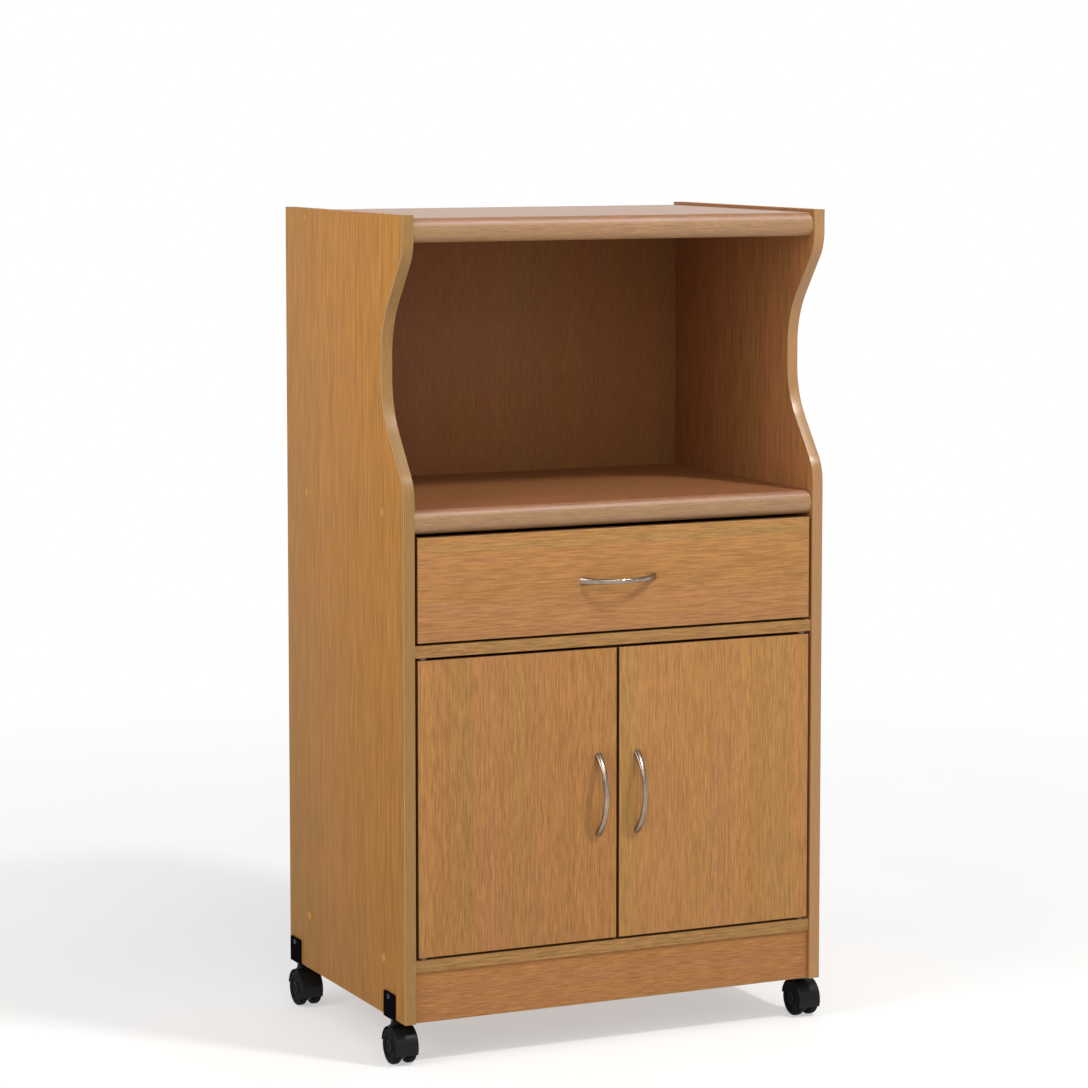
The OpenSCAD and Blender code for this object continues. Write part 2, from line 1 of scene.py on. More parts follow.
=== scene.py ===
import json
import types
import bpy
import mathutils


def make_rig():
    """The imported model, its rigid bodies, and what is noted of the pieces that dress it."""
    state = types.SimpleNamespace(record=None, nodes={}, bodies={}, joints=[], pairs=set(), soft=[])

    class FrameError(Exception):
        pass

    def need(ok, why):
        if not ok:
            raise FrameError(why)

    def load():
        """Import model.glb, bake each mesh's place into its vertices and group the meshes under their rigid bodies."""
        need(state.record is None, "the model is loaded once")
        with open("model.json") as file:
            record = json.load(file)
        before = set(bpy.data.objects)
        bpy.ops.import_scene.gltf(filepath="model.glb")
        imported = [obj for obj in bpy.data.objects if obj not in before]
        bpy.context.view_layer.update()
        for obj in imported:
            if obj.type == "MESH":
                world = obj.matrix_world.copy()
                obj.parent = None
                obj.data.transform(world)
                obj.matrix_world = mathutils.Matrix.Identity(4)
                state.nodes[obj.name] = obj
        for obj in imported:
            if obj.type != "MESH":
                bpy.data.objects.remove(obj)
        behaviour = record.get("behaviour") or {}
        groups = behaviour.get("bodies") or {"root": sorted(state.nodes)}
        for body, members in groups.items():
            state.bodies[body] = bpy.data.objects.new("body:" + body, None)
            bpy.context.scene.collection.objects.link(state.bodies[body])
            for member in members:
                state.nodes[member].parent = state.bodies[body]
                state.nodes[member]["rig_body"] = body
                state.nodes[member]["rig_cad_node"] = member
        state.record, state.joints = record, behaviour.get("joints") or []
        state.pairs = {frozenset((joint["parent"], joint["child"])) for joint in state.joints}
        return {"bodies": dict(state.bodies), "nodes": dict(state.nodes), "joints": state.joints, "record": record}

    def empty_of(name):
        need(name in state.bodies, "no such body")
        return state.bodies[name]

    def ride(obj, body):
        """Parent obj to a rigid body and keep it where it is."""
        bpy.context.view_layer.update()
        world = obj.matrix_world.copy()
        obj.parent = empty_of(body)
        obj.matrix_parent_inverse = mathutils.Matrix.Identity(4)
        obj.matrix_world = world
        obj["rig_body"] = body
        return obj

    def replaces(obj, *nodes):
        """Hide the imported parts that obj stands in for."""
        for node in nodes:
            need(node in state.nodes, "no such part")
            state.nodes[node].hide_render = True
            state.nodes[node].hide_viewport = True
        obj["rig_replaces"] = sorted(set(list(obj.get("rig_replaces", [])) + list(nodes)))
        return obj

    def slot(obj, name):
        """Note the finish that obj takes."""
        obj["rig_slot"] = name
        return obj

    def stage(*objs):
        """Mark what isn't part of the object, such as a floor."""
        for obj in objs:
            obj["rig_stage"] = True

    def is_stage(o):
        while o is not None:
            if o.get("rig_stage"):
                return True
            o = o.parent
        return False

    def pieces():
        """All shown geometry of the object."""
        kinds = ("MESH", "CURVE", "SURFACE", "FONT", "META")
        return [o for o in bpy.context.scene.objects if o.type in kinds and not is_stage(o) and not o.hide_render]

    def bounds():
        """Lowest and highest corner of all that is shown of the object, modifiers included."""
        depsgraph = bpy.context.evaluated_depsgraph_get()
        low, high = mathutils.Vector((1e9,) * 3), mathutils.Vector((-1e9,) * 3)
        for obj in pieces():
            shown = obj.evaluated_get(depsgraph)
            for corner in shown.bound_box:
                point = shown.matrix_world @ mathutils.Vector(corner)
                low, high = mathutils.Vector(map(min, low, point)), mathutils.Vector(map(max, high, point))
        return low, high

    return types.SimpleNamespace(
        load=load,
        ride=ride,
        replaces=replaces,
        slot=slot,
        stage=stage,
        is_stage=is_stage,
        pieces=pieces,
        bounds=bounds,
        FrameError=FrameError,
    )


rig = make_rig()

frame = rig.load()

import bpy
import bmesh
import json
import math
import random
from mathutils import Vector

random.seed(7)
LO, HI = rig.bounds()
CAD_BOX = [list(LO), list(HI)]

# Millimetres from the left outer face, the front edges and the lower ends of
# the side panels, in the part's frame in metres.
OX, OY, OZ = -0.2925, -0.185, 0.056


def P(x, y, z):
    return Vector((x * 0.001 + OX, y * 0.001 + OY, z * 0.001 + OZ))


# ---------------------------------------------------------------- materials
class Tree:
    """Small helper round a material's node tree."""

    def __init__(self, name):
        self.m = bpy.data.materials.new(name)
        self.m.use_nodes = True
        self.t = self.m.node_tree
        self.t.nodes.clear()
        self.out = self.t.nodes.new("ShaderNodeOutputMaterial")
        self.b = self.t.nodes.new("ShaderNodeBsdfPrincipled")
        self.link(self.b.outputs[0], self.out.inputs[0])
        self.co = self.t.nodes.new("ShaderNodeTexCoord").outputs["Object"]

    def link(self, a, b):
        self.t.links.new(a, b)

    def put(self, socket, v):
        if hasattr(v, "links") or isinstance(v, bpy.types.NodeSocket):
            self.link(v, socket)
        else:
            socket.default_value = v

    def node(self, kind, **sockets):
        n = self.t.nodes.new(kind)
        for k, v in sockets.items():
            self.put(n.inputs[k], v)
        return n

    def mapped(self, scale, offset=(0, 0, 0), source=None):
        n = self.t.nodes.new("ShaderNodeMapping")
        self.link(source or self.co, n.inputs["Vector"])
        n.inputs["Scale"].default_value = scale
        n.inputs["Location"].default_value = offset
        return n.outputs[0]

    def noise(self, vector, detail=2.0, rough=0.5, distortion=0.0, scale=1.0):
        n = self.t.nodes.new("ShaderNodeTexNoise")
        self.link(vector, n.inputs["Vector"])
        n.inputs["Scale"].default_value = scale
        n.inputs["Detail"].default_value = detail
        n.inputs["Roughness"].default_value = rough
        n.inputs["Distortion"].default_value = distortion
        return n.outputs["Fac"]

    def ramp(self, fac, stops, mode="LINEAR"):
        n = self.t.nodes.new("ShaderNodeValToRGB")
        self.link(fac, n.inputs[0])
        n.color_ramp.interpolation = mode
        e = n.color_ramp.elements
        while len(e) > 1:
            e.remove(e[-1])
        for i, (p, c) in enumerate(stops):
            s = e[0] if i == 0 else e.new(p)
            s.position = p
            s.color = c if isinstance(c, (tuple, list)) and len(c) == 4 else (
                (*c, 1) if isinstance(c, (tuple, list)) else (c, c, c, 1))
        return n.outputs[0]

    def mix(self, fac, a, b, blend="MIX"):
        n = self.t.nodes.new("ShaderNodeMix")
        n.data_type = "RGBA"
        n.blend_type = blend
        n.clamp_factor = True
        self.put(n.inputs["Factor"], fac)
        for k, v in ((6, a), (7, b)):
            if isinstance(v, (tuple, list)) and len(v) == 3:
                v = (*v, 1)
            self.put(n.inputs[k], v)
        return n.outputs[2]

    def math(self, op, a, b=0.0, clamp=False):
        n = self.t.nodes.new("ShaderNodeMath")
        n.operation = op
        n.use_clamp = clamp
        self.put(n.inputs[0], a)
        self.put(n.inputs[1], b)
        return n.outputs[0]

    def bump(self, height, strength, distance):
        n = self.t.nodes.new("ShaderNodeBump")
        self.link(height, n.inputs["Height"])
        n.inputs["Strength"].default_value = strength
        n.inputs["Distance"].default_value = distance
        self.link(n.outputs[0], self.b.inputs["Normal"])

    def spans(self, lo, hi, to_lo, to_hi, v):
        n = self.t.nodes.new("ShaderNodeMapRange")
        n.clamp = True
        self.put(n.inputs[0], v)
        for i, x in enumerate((lo, hi, to_lo, to_hi)):
            n.inputs[i + 1].default_value = x
        return n.outputs[0]


def lin(r, g, b):
    def f(c):
        c /= 255.0
        return c / 12.92 if c <= 0.04045 else ((c + 0.055) / 1.055) ** 2.4
    return (f(r), f(g), f(b))


def along(axis, across, length):
    """Scale of the grain: cycles per metre across it and along it."""
    return tuple(length if a == axis else across for a in "XYZ")


def laminate(name, axis, warm, olive, pink, seed=0.0, tone=0.045, fleck=0.09,
             fibre=0.05, rough=0.46, spec=0.25, cells=36.0, mild=0.6, soft=0.02, only=None,
             low=1.0, high=1.0, run=1.0, fine=1.0):
    """Beech print: straight strips of slightly different hue and tone, faint
    fibre lines, and short flecks that come and go in patches."""
    t = Tree(name)
    off = (seed * 1.7, seed * 0.9, seed * 2.3)
    xyz = t.t.nodes.new("ShaderNodeSeparateXYZ")
    t.link(t.co, xyz.inputs[0])
    u, v = [xyz.outputs[i] for i, a in enumerate("XYZ") if a != axis]
    w = xyz.outputs["XYZ".index(only)] if only else t.math("ADD", u, v)

    def scale(across, length):
        # with "only", the print runs along a strip and changes across it
        return tuple(length if a == axis else (0.0 if only and a != only else across) for a in "XYZ")

    waver = t.noise(t.mapped(scale(9.0, 1.3), off), 1.0, 0.5)
    w = t.math("ADD", w, t.spans(0.2, 0.8, -0.0035, 0.0035, waver))

    def strips(freq, shift):
        n = t.t.nodes.new("ShaderNodeTexVoronoi")
        n.voronoi_dimensions = "1D"
        t.link(t.math("ADD", t.math("MULTIPLY", w, freq), shift), n.inputs["W"])
        n.inputs["Scale"].default_value = 1.0
        c = t.t.nodes.new("ShaderNodeSeparateColor")
        t.link(n.outputs["Color"], c.inputs[0])
        return c.outputs

    wide, thin = strips(cells, 40.0 + seed * 5.3), strips(cells * 2.7, 90.0 + seed * 7.1)
    lines = t.t.nodes.new("ShaderNodeTexNoise")
    lines.noise_dimensions = "1D"
    t.link(t.math("MULTIPLY", w, 620.0 * fine), lines.inputs["W"])
    lines.inputs["Scale"].default_value = 1.0
    lines.inputs["Detail"].default_value = 0.0
    lines.inputs["Roughness"].default_value = 0.5
    blush = t.noise(t.mapped(scale(7.0, 1.8), (off[1], off[2], off[0])), 2.0, 0.5)
    hairs = t.noise(t.mapped(scale(980 * fine, 42 * run), off), 0.0, 0.5)
    short = t.noise(t.mapped(scale(900 * fine, 120 * run), (off[2], off[0], off[1])), 0.0, 0.5)
    cloud = t.noise(t.mapped(scale(42, 15), (off[0], off[2], off[1])), 2.0, 0.5)
    patch = t.noise(t.mapped(scale(26, 5.0), (off[2], off[1], off[0])), 2.0, 0.5)

    hue = t.math("ADD", t.math("MULTIPLY", wide[1], 0.65), t.math("MULTIPLY", thin[1], 0.35))
    hue = t.math("ADD", hue, t.spans(0.3, 0.7, -0.10, 0.10, blush))
    c = t.mix(t.spans(0.52, 0.90, 0.0, 1.0, hue), warm, olive)
    c = t.mix(t.spans(0.46, 0.12, 0.0, 1.0, hue), c, pink)
    k = t.spans(0.0, 1.0, 1.0 - tone, 1.0 + tone, wide[0])
    k = t.math("MULTIPLY", k, t.spans(0.0, 1.0, 1.0 - 0.55 * tone, 1.0 + 0.55 * tone, thin[2]))
    k = t.math("MULTIPLY", k, t.spans(0.3, 0.7, 1.0 - 0.7 * fibre, 1.0 + 0.7 * fibre, lines.outputs["Fac"]))
    k = t.math("MULTIPLY", k, t.spans(0.3, 0.7, 1.0 - 1.8 * fibre, 1.0 + 1.8 * fibre, hairs))
    k = t.math("MULTIPLY", k, t.spans(0.3, 0.7, 1.0 - soft, 1.0 + soft, cloud))
    # painted shade: low and high make the print darker towards the bottom and lighter near the top, standing in for
    # light that falls from above
    if low != high:
        k = t.math("MULTIPLY", k, t.spans(0.15, 0.95, low, high, xyz.outputs[2]))
    much = t.spans(0.36, 0.64, 1.0 - mild, 1.0, patch)
    dark = t.math("MULTIPLY", t.spans(0.52, 0.72, 0.0, fleck, short), much)
    pale = t.math("MULTIPLY", t.spans(0.47, 0.30, 0.0, 0.8 * fleck, short), much)
    k = t.math("MULTIPLY", k, t.math("ADD", t.math("SUBTRACT", 1.0, dark), pale))
    grey = t.t.nodes.new("ShaderNodeCombineColor")
    for i in range(3):
        t.link(k, grey.inputs[i])
    c = t.mix(1.0, c, grey.outputs[0], "MULTIPLY")
    t.link(c, t.b.inputs["Base Color"])
    t.link(t.spans(0.3, 0.7, rough - 0.05, rough + 0.05, hairs), t.b.inputs["Roughness"])
    t.b.inputs["Specular IOR Level"].default_value = spec
    t.bump(t.math("ADD", t.math("MULTIPLY", hairs, 0.6), t.math("MULTIPLY", short, 0.5)), 0.06, 0.0003)
    return t.m


def chipboard(name):
    t = Tree(name)
    v = t.t.nodes.new("ShaderNodeTexVoronoi")
    t.link(t.mapped((520, 520, 900)), v.inputs["Vector"])
    v.inputs["Scale"].default_value = 1.0
    n = t.noise(t.mapped((240, 240, 380)), 4.0, 0.65)
    c = t.ramp(n, [(0.30, lin(122, 90, 58)), (0.52, lin(176, 141, 99)), (0.72, lin(208, 180, 140))])
    c = t.mix(0.35, c, t.ramp(v.outputs["Distance"], [(0.0, lin(112, 82, 52)), (0.6, lin(196, 164, 122))]))
    t.link(c, t.b.inputs["Base Color"])
    t.b.inputs["Roughness"].default_value = 0.85
    t.bump(n, 0.5, 0.0006)
    return t.m


def hardboard(name):
    t = Tree(name)
    n = t.noise(t.mapped((90, 90, 90)), 5.0, 0.65)
    f = t.noise(t.mapped((900, 900, 500)), 3.0, 0.6)
    c = t.ramp(n, [(0.30, lin(104, 76, 50)), (0.70, lin(140, 106, 72))])
    c = t.mix(t.spans(0.35, 0.65, 0.0, 0.4, f), c, lin(86, 62, 42))
    t.link(c, t.b.inputs["Base Color"])
    t.b.inputs["Roughness"].default_value = 0.78
    t.bump(f, 0.35, 0.0004)
    return t.m


def metal(name, axis, base, dark, rough, brush=0.25, spots=0.0):
    t = Tree(name)
    lines = t.noise(t.mapped(along(axis, 2600, 60)), 2.0, 0.6)
    cloud = t.noise(t.mapped((60, 60, 60)), 3.0, 0.55)
    c = t.mix(t.spans(0.35, 0.70, 0.0, 0.8, cloud), base, dark)
    c = t.mix(t.spans(0.40, 0.62, 0.0, 0.18, lines), c, dark)
    if spots:
        s = t.noise(t.mapped((700, 700, 700)), 1.0, 0.5)
        c = t.mix(t.spans(0.62, 0.70, 0.0, spots, s), c, (0.25, 0.24, 0.22))
    t.link(c, t.b.inputs["Base Color"])
    t.b.inputs["Metallic"].default_value = 1.0
    t.link(t.spans(0.3, 0.7, rough - 0.05, rough + 0.08, lines), t.b.inputs["Roughness"])
    t.bump(lines, brush, 0.0001)
    return t.m


def plastic(name, base, worn, rough, grain=900.0, strength=0.12, wear=0.35, coat=0.0, spec=0.5):
    t = Tree(name)
    n = t.noise(t.mapped((grain, grain, grain)), 3.0, 0.6)
    big = t.noise(t.mapped((70, 70, 70)), 3.0, 0.6)
    c = t.mix(t.spans(0.42, 0.75, 0.0, wear, big), base, worn)
    c = t.mix(t.spans(0.35, 0.65, 0.0, 0.20, n), c, worn)
    t.link(c, t.b.inputs["Base Color"])
    t.link(t.spans(0.3, 0.7, rough - 0.06, rough + 0.10, big), t.b.inputs["Roughness"])
    t.b.inputs["Specular IOR Level"].default_value = spec
    t.b.inputs["Coat Weight"].default_value = coat
    t.b.inputs["Coat Roughness"].default_value = 0.18
    t.bump(n, strength, 0.0002)
    return t.m


def shades(r, g, b, spread=1.0):
    """Warm, olive and pink shades about one mean colour."""
    return (lin(r + 3 * spread, g - 1 * spread, b - 3 * spread),
            lin(r - 7 * spread, g + 2 * spread, b + 1 * spread),
            lin(r + 3 * spread, g - 3 * spread, b + 7 * spread))


# the two side prints darken towards the bottom (low, high): painted shade of light from above, milder on the right
# side
side_left = laminate("laminate_side_left", "Z", *shades(166, 117, 60, 0.5), 1.0, 0.03, 0.07, 0.09, spec=0.03, low=0.83, high=1.06, run=0.4, fine=0.6)
side_right = laminate("laminate_side_right", "Z", *shades(165, 117, 61, 0.5), 4.1, 0.03, 0.07, 0.09, spec=0.03, low=0.92, high=1.03, run=0.4, fine=0.6)
# the inner faces take a darker, redder copy of the side print: partly painted shade for the inside of the cupboard
side_inner_shaded = laminate("laminate_side_inner", "Z", *shades(156, 105, 63, 0.5), 3.4, 0.035, 0.07, 0.11, spec=0.08, run=0.4, fine=0.6)
side_edge = laminate("laminate_edging", "Z", *shades(139, 104, 57, 0.15), 2.4, 0.012, 0.05, 0.05, rough=0.42, spec=0.32, only="X")
side_edge_r = laminate("laminate_edging_right", "Z", *shades(149, 107, 57, 0.2), 5.4, 0.012, 0.05, 0.05, rough=0.34, spec=0.75, only="X")
# a lighter print for the edging's eased outer corners: painted highlight
edge_highlight = laminate("laminate_edging_corner_highlight", "Z", *shades(182, 138, 90, 0.4), 2.7, 0.02, 0.04, 0.03, rough=0.36, spec=0.4, only="X")
front_v = laminate("laminate_front_upright", "Z", *shades(153, 108, 61, 0.5), 7.3, 0.035, 0.08, 0.10, mild=0.4, spec=0.15)
front_v2 = laminate("laminate_front_upright_right", "Z", *shades(156, 112, 63, 0.5), 9.6, 0.035, 0.08, 0.09, mild=0.4, spec=0.15)
front_h = laminate("laminate_front_level", "X", *shades(155, 112, 66, 0.9), 3.2, 0.03, 0.08, 0.09, mild=0.4, spec=0.15)
rail_h = laminate("laminate_rail", "X", *shades(147, 107, 63, 0.4), 5.5, 0.02, 0.15, 0.10, spec=0.15)
plinth_h = laminate("laminate_plinth", "X", *shades(151, 105, 60, 0.6), 6.1, 0.025, 0.12, 0.10, spec=0.15)
nose_h = laminate("laminate_nose", "X", *shades(143, 106, 70, 0.9), 6.6, 0.02, 0.12, 0.07, rough=0.48, spec=0.62)
# the top board's flat top takes a paler, pinker copy of the print with little specular: painted reflection of the
# sheen on a flat top
top_face_sheen = laminate("laminate_top_face", "X", *shades(155, 118, 91, 0.5), 6.9, 0.02, 0.12, 0.08, rough=0.45, spec=0.14)
# the shelf's flat top takes a darker, redder copy of the print: painted shade of the bay above it
shelf_face_shaded = laminate("laminate_shelf_face", "X", *shades(141, 96, 60, 0.5), 9.9, 0.02, 0.20, 0.10, rough=0.5, spec=0.08)
thin_h = laminate("laminate_thin", "X", *shades(160, 110, 60, 0.7), 8.1, 0.02, 0.12, 0.05)
thin_v = laminate("laminate_back", "Z", *shades(140, 94, 56, 0.5), 8.8, 0.02, 0.08, 0.06, spec=0.12)
# the eased edges of panels and boards take their own tone of the print
band = laminate("laminate_eased_edge", "Z", *shades(150, 108, 62, 0.5), 2.9, 0.02, 0.06, 0.04)
# dark brown for the edges of the doors and drawer front: painted shade of the narrow gaps between them
gap_shade_edge = laminate("laminate_gap_shade_edge", "Z", *shades(100, 66, 40, 0.5), 2.2, 0.02, 0.06, 0.04, spec=0.12)
chips = chipboard("chipboard_cut")
fibre_back = hardboard("hardboard_rear")
# the nickel is darkened and browned, with darker brown patches and brush lines: painted reflection of the wood fronts
# and of a darker room round the handles
nickel = metal("satin_nickel", "X", (0.40, 0.325, 0.26), (0.22, 0.17, 0.13), 0.25)
nickel_z = metal("satin_nickel_upright", "Z", (0.40, 0.325, 0.26), (0.22, 0.17, 0.13), 0.25)
steel = metal("zinc_steel", "Z", (0.50, 0.50, 0.49), (0.34, 0.34, 0.34), 0.36, spots=0.3)
black_steel = metal("dark_steel", "Z", (0.045, 0.045, 0.055), (0.02, 0.02, 0.025), 0.35, spots=0.1)
black_gloss = plastic("black_plastic", (0.0040, 0.0040, 0.0045), (0.008, 0.008, 0.009), 0.40, 1400, 0.04, 0.3, spec=0.20)
black_wheel = plastic("wheel_plastic", (0.0072, 0.0066, 0.0074), (0.015, 0.0135, 0.015), 0.42, 1100, 0.06, 0.4, spec=0.02)
black_metal = plastic("black_metal", (0.0035, 0.0033, 0.0042), (0.008, 0.007, 0.009), 0.45, 2200, 0.06, 0.3, spec=0.0)
white_metal = plastic("white_powder_coat", (0.72, 0.71, 0.68), (0.56, 0.55, 0.52), 0.38, 1600, 0.15, 0.25)
white_plastic = plastic("white_plastic", (0.74, 0.74, 0.72), (0.62, 0.61, 0.58), 0.42, 1300, 0.08, 0.2)
brown_plastic = plastic("brown_plastic", (0.095, 0.050, 0.024), (0.14, 0.085, 0.05), 0.44, 1200, 0.10, 0.3)
cover_plastic = plastic("cover_plastic", lin(176, 126, 60), lin(166, 117, 56), 0.40, 900, 0.06, 0.4, spec=0.06)
dowel_wood = laminate("dowel_wood", "X", *shades(206, 178, 134, 0.5), 0.4, 0.02, 0.08, 0.04, rough=0.6)


# ---------------------------------------------------------------- mesh tools
def to_object(bm, name, mats, body, nodes=(), slot=None, angle=32.0):
    bmesh.ops.recalc_face_normals(bm, faces=bm.faces[:])
    me = bpy.data.meshes.new(name)
    bm.to_mesh(me)
    bm.free()
    for m in mats:
        me.materials.append(m)
    for p in me.polygons:
        p.use_smooth = True
    me.set_sharp_from_angle(angle=math.radians(angle))
    o = bpy.data.objects.new(name, me)
    bpy.context.scene.collection.objects.link(o)
    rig.ride(o, body)
    if nodes:
        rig.replaces(o, *nodes)
    if slot:
        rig.slot(o, slot)
    return o


def box_bm(lo, hi, bm=None):
    """A plain block between two corners in cart millimetres."""
    bm = bm or bmesh.new()
    a, b = P(*lo), P(*hi)
    vs = [bm.verts.new((x, y, z)) for x in (a.x, b.x) for y in (a.y, b.y) for z in (a.z, b.z)]
    for f in ((0, 1, 3, 2), (4, 6, 7, 5), (0, 4, 5, 1), (2, 3, 7, 6), (0, 2, 6, 4), (1, 5, 7, 3)):
        bm.faces.new([vs[i] for i in f])
    bmesh.ops.recalc_face_normals(bm, faces=bm.faces[:])
    return bm


def round_edges(bm, edges, width_mm, segs=3, mat=-1):
    bmesh.ops.bevel(bm, geom=edges, offset=width_mm * 0.001, offset_type="OFFSET",
                    segments=segs, profile=0.5, affect="EDGES", clamp_overlap=True,
                    material=mat)


def cut(bm, cutters):
    """Takes closed cutter meshes out of a closed mesh, with Blender's exact solver."""
    me = bpy.data.meshes.new("work")
    bm.to_mesh(me)
    bm.free()
    o = bpy.data.objects.new("work", me)
    bpy.context.scene.collection.objects.link(o)
    gone = [o]
    for i, c in enumerate(cutters):
        cm = bpy.data.meshes.new(f"cutter{i}")
        c.to_mesh(cm)
        c.free()
        co = bpy.data.objects.new(f"cutter{i}", cm)
        bpy.context.scene.collection.objects.link(co)
        mod = o.modifiers.new(f"cut{i}", "BOOLEAN")
        mod.operation = "DIFFERENCE"
        mod.solver = "EXACT"
        mod.object = co
        gone.append(co)
    bpy.context.view_layer.update()
    dg = bpy.context.evaluated_depsgraph_get()
    out = bmesh.new()
    got = bpy.data.meshes.new_from_object(o.evaluated_get(dg))
    out.from_mesh(got)
    bpy.data.meshes.remove(got)
    for g in gone:
        m = g.data
        bpy.data.objects.remove(g)
        bpy.data.meshes.remove(m)
    return out


def rod_bm(a, b, r, n=24, bm=None):
    """A closed round rod between two points in cart millimetres."""
    bm = bm or bmesh.new()
    a, b = P(*a), P(*b)
    d = (b - a).normalized()
    u = d.orthogonal().normalized()
    v = d.cross(u)
    rings = []
    for p in (a, b):
        rings.append([bm.verts.new(p + (u * math.cos(2 * math.pi * i / n) + v * math.sin(2 * math.pi * i / n)) * r * 0.001)
                      for i in range(n)])
    for i in range(n):
        j = (i + 1) % n
        bm.faces.new((rings[0][i], rings[0][j], rings[1][j], rings[1][i]))
    bm.faces.new(rings[0][::-1])
    bm.faces.new(rings[1])
    bmesh.ops.recalc_face_normals(bm, faces=bm.faces[:])
    return bm


def lathe_bm(origin, axis, profile, n=64, bm=None, arc=None, matfun=None, closed=True):
    """Turns a closed profile [(radius, height)] in mm about an axis through a
    point in cart mm. arc=(a0, a1) in degrees makes part of a turn, with caps."""
    bm = bm or bmesh.new()
    o = P(*origin)
    axis = Vector(axis).normalized()
    if abs(axis.x) > 0.9:
        u, v = Vector((0, -1, 0)), Vector((0, 0, 1))     # 0 deg is the front, 90 is up
    else:
        u = axis.orthogonal().normalized()
        v = axis.cross(u)
    full = arc is None
    a0, a1 = arc or (0, 360)
    steps = n if full else n + 1
    rings = []
    for i in range(steps):
        a = math.radians(a0 + (a1 - a0) * i / n)
        d = u * math.cos(a) + v * math.sin(a)
        rings.append([bm.verts.new(o + d * (r * 0.001) + axis * (h * 0.001)) for r, h in profile])
    k = len(profile)
    for i in range(n):
        p, q = rings[i], rings[(i + 1) % steps]
        for j in range(k if closed else k - 1):
            l = (j + 1) % k
            if profile[j][0] < 1e-6 and profile[l][0] < 1e-6:
                continue
            try:
                f = bm.faces.new((p[j], p[l], q[l], q[j]))
                if matfun:
                    f.material_index = matfun(profile[j], profile[l])
            except ValueError:
                pass
    if not full:
        bm.faces.new(rings[0])
        bm.faces.new(rings[-1][::-1])
    bmesh.ops.remove_doubles(bm, verts=bm.verts[:], dist=1e-7)
    return bm


def arc_pts(cx, cy, r, a0, a1, n):
    return [(cx + r * math.cos(math.radians(a0 + (a1 - a0) * i / n)),
             cy + r * math.sin(math.radians(a0 + (a1 - a0) * i / n))) for i in range(n + 1)]


# ---------------------------------------------------------------- side panels
T, WD, DP, H = 15.0, 585.0, 395.0, 1000.0
CD, CZ, R1, R2, CA, CH = 69.0, 811.0, 110.0, 55.0, math.radians(37.0), 14.0
CS = (CD - (R1 + R2) * (1 - math.cos(CA))) / math.sin(CA)
CE = CH + (R1 + R2) * math.sin(CA) + CS * math.cos(CA)


def half_line(d, n=40):
    a = [(CD - R1 + (R1 + d) * math.cos(CA * i / n), CH + (R1 + d) * math.sin(CA * i / n)) for i in range(n + 1)]
    b = [(R2 - (R2 - d) * math.cos(CA * i / n), CE - (R2 - d) * math.sin(CA * i / n)) for i in range(n, -1, -1)]
    return a + b


def front_line(d, z0=0.0, z1=H):
    up = half_line(d)
    return ([(d, z0)] + [(y, CZ - z) for y, z in up[::-1]] + [(y, CZ + z) for y, z in up] + [(d, z1)])


def slab_bm(outline, x0, x1, inset_line=None):
    """An outline in (y, z) carried along X."""
    bm = bmesh.new()
    a = [bm.verts.new(P(x0, y, z)) for y, z in outline]
    b = [bm.verts.new(P(x1, y, z)) for y, z in outline]
    bm.faces.new(a)
    bm.faces.new(b[::-1])
    n = len(outline)
    for i in range(n):
        j = (i + 1) % n
        bm.faces.new((a[i], b[i], b[j], a[j]))
    bmesh.ops.recalc_face_normals(bm, faces=bm.faces[:])
    return bm


def side_panel(name, x0, x1, inner, mat):
    outline = front_line(1.0) + [(DP, H), (DP, 0.0)]
    bm = slab_bm(outline, x0, x1)
    xs = (P(x0, 0, 0).x, P(x1, 0, 0).x)
    rim = [e for e in bm.edges if abs(e.verts[0].co.x - e.verts[1].co.x) < 1e-9]
    round_edges(bm, rim, 0.35, 2, 1)
    low, face = P(0, 0, 0.2).z, P(inner, 0, 0).x
    # bottom faces show chipboard; inner faces take the darker inner print, partly painted shade
    for f in bm.faces:
        c = f.calc_center_median()
        if f.normal.z < -0.9 and c.z < low:
            f.material_index = 2
        elif abs(f.normal.x) > 0.999 and abs(c.x - face) < 1e-6:
            f.material_index = 3
    holes = []
    for y in (100.0, DP - 55.0):
        for k in (-1, 1):
            z = 259.5 + 32 * k
            holes.append(rod_bm((inner, y, z), (inner + (-9 if inner < 300 else 9), y, z), 2.5, 20))
            # the rod reaches past the face so that the cut is clean
            for v in holes[-1].verts:
                if abs(v.co.x - P(inner, 0, 0).x) < 1e-6:
                    v.co.x += 0.002 if inner < 300 else -0.002
    bm = cut(bm, holes)
    return to_object(bm, name, [mat, band, chips, side_inner_shaded], "cabinet", [name], "laminate_side")


side_panel("left_side_panel", 0.0, T, T, side_left).name = "panel_left"
side_panel("right_side_panel", WD - T, WD, WD - T, side_right).name = "panel_right"


